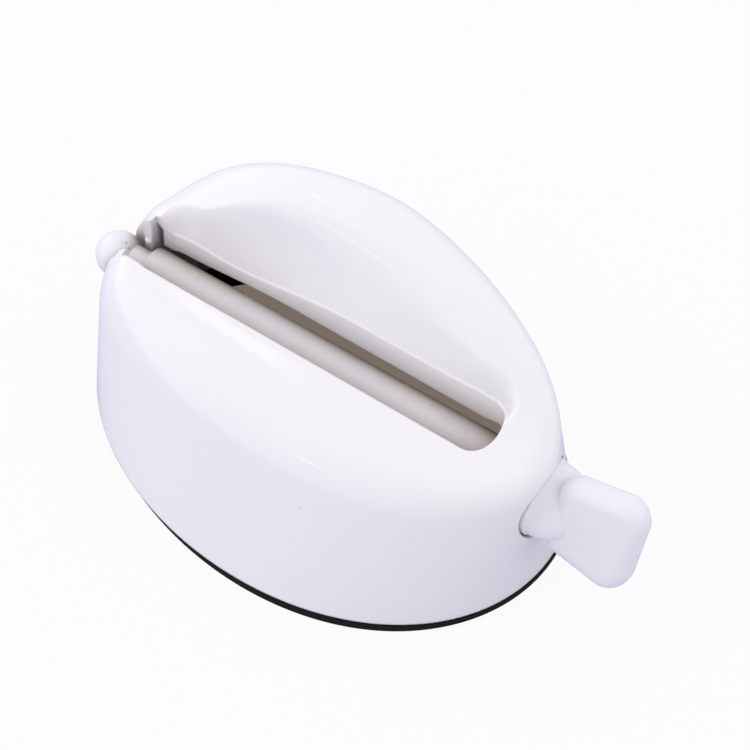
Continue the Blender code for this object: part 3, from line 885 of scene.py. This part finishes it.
TABLE_TINTS = ((0.56, 0.56, 0.69), (0.59, 0.59, 0.72))
TABLE_HALF = 6.0
# Painted light: the faint brown glow of the shaded table under the housing's foot, shown to the
# camera only
UNDER_FOOT_PAINTED_LIGHT = (0.52, 0.40, 0.31)
UNDER_FOOT_SHARES = (0.80, 0.90)
GLOW_SHARES = (0.35, 0.93)


def white_stage():
    """Pale table top. Outside the housing's foot it glows white towards the camera only. Inside
    it glows faintly brown towards the camera, as painted light in place of the dim light that
    reaches the shaded table under the housing, for the strip that shows beside the roller."""
    tree = Surface("white_stage")
    tree.put("Base Color", tree.mix(tree.noise(scale=9, detail=3), *TABLE_TINTS))
    tree.roughness(tree.noise(scale=30, detail=3), low=0.8, high=0.95)
    axes = tree.axes()
    along = tree.combine("DIVIDE", axes["X"], FOOT_HALF_LENGTH)
    across = tree.combine("DIVIDE", axes["Y"], FOOT_HALF_WIDTH)
    squares = [tree.combine("MULTIPLY", part, part) for part in (along, across)]
    outside = tree.spread(tree.combine("ADD", *squares), *UNDER_FOOT_SHARES)
    glow = tree.nodes.new("ShaderNodeEmission")
    # Painted light under the foot: brown there, plain white outside it
    tree.fill(glow.inputs["Color"], tree.mix(outside, UNDER_FOOT_PAINTED_LIGHT, WHITE))
    tree.fill(glow.inputs["Strength"], 1.0)
    share = tree.spread(outside, 0, 1, *GLOW_SHARES)
    seen = tree.combine("MULTIPLY", tree.camera_ray(), share)
    tree.show(seen, tree.shader.outputs["BSDF"], glow.outputs["Emission"], "Material Output")
    return tree.material


def make_floor(material):
    mesh = bpy.data.meshes.new("floor")
    half = TABLE_HALF
    corners = [(-half, -half, 0), (half, -half, 0), (half, half, 0), (-half, half, 0)]
    mesh.from_pydata(corners, [], [(0, 1, 2, 3)])
    mesh.materials.append(material)
    floor = bpy.data.objects.new("floor", mesh)
    bpy.context.scene.collection.objects.link(floor)


make_floor(white_stage())


# Light

SKY_COLOUR = (0.95, 0.94, 1.0)
SKY_EVEN_STRENGTH = 1.24
SKY_LOBES = [
    ((0, 0, 1), -0.24),
    ((-1, 0, 0.25), 0.22),
    ((0, -1, 0.25), -0.28),
    ((0, 1, 0.25), -0.30),
    ((1, 1, 0.5), 0.35),
    ((-1, -1, 0.5), 0.48),
    ((1, -1, 0.5), -0.28),
]
LAMP_DISTANCE = 0.9
LAMP_AIM_HEIGHT = 0.02
LAMPS = [
    ("box_back_left", (-0.35, 0.43, 0.83), (0.04, 0.04), 0.022),
    ("box_front_low", (-0.25, -0.87, 0.42), (0.06, 0.045), 0.03),
]


def soft_box(name, toward, size, watts):
    """Area lamp of a width and height, that way from the object and turned to it."""
    light = bpy.data.lights.new(name, "AREA")
    light.shape = "RECTANGLE"
    light.size, light.size_y = size
    light.energy = watts
    lamp = bpy.data.objects.new(name, light)
    direction = Vector(toward).normalized()
    lamp.location = direction * LAMP_DISTANCE + Vector((0, 0, LAMP_AIM_HEIGHT))
    lamp.rotation_euler = direction.to_track_quat("Z", "Y").to_euler()
    bpy.context.scene.collection.objects.link(lamp)


def make_world():
    """Even studio sky, brighter or darker towards some sides, and plain white to the camera."""
    world = bpy.data.worlds.new("studio")
    bpy.context.scene.world = world
    tree = Tree(world, "Generated")
    strength = SKY_EVEN_STRENGTH
    for direction, more in SKY_LOBES:
        facing = tree.measure("DOT_PRODUCT", Vector(direction).normalized())
        bounded = tree.combine("MAXIMUM", facing, 0)
        squared = tree.combine("MULTIPLY", bounded, bounded)
        strength = tree.combine("ADD", tree.combine("MULTIPLY", squared, more), strength)
    sky = tree.nodes["Background"]
    tree.fill(sky.inputs["Color"], SKY_COLOUR)
    tree.fill(sky.inputs["Strength"], strength)
    white = tree.nodes.new("ShaderNodeBackground")
    tree.fill(white.inputs["Color"], WHITE)
    tree.fill(white.inputs["Strength"], 1.0)
    shaders = (sky.outputs["Background"], white.outputs["Background"])
    tree.show(tree.camera_ray(), *shaders, "World Output")


make_world()
for lamp in LAMPS:
    soft_box(*lamp)


# Camera at the photograph's angle. Its centre is the pixel that the frame's origin falls on.

AZIMUTH = math.radians(34.3)
ELEVATION = math.radians(58)
DISTANCE = 0.6
PIXELS_PER_UNIT = 3477.0
CENTRE = (330.6, 439.4)
FRAME_SIZE = 750.0
SENSOR_WIDTH = 36
CLIP_RANGE = (0.01, 50)


def make_camera():
    data = bpy.data.cameras.new("camera")
    camera = bpy.data.objects.new("camera", data)
    bpy.context.scene.collection.objects.link(camera)
    right = Vector((math.cos(AZIMUTH), math.sin(AZIMUTH), 0))
    level = math.cos(ELEVATION)
    back = Vector((math.sin(AZIMUTH) * level, -math.cos(AZIMUTH) * level, math.sin(ELEVATION)))
    up = back.cross(right)
    aside = FRAME_SIZE / 2 - CENTRE[0]
    lower = FRAME_SIZE / 2 - CENTRE[1]
    ahead = (-back * PIXELS_PER_UNIT + right * aside - up * lower).normalized()
    side = (right - ahead * right.dot(ahead)).normalized()
    top = side.cross(ahead)
    turn = Matrix((side, top, -ahead)).transposed()
    camera.matrix_world = Matrix.Translation(back * DISTANCE) @ turn.to_4x4()
    data.sensor_width = SENSOR_WIDTH
    data.lens = PIXELS_PER_UNIT * SENSOR_WIDTH / FRAME_SIZE
    data.clip_start, data.clip_end = CLIP_RANGE
    bpy.context.scene.camera = camera


make_camera()
bpy.context.scene.view_settings.view_transform = "Standard"
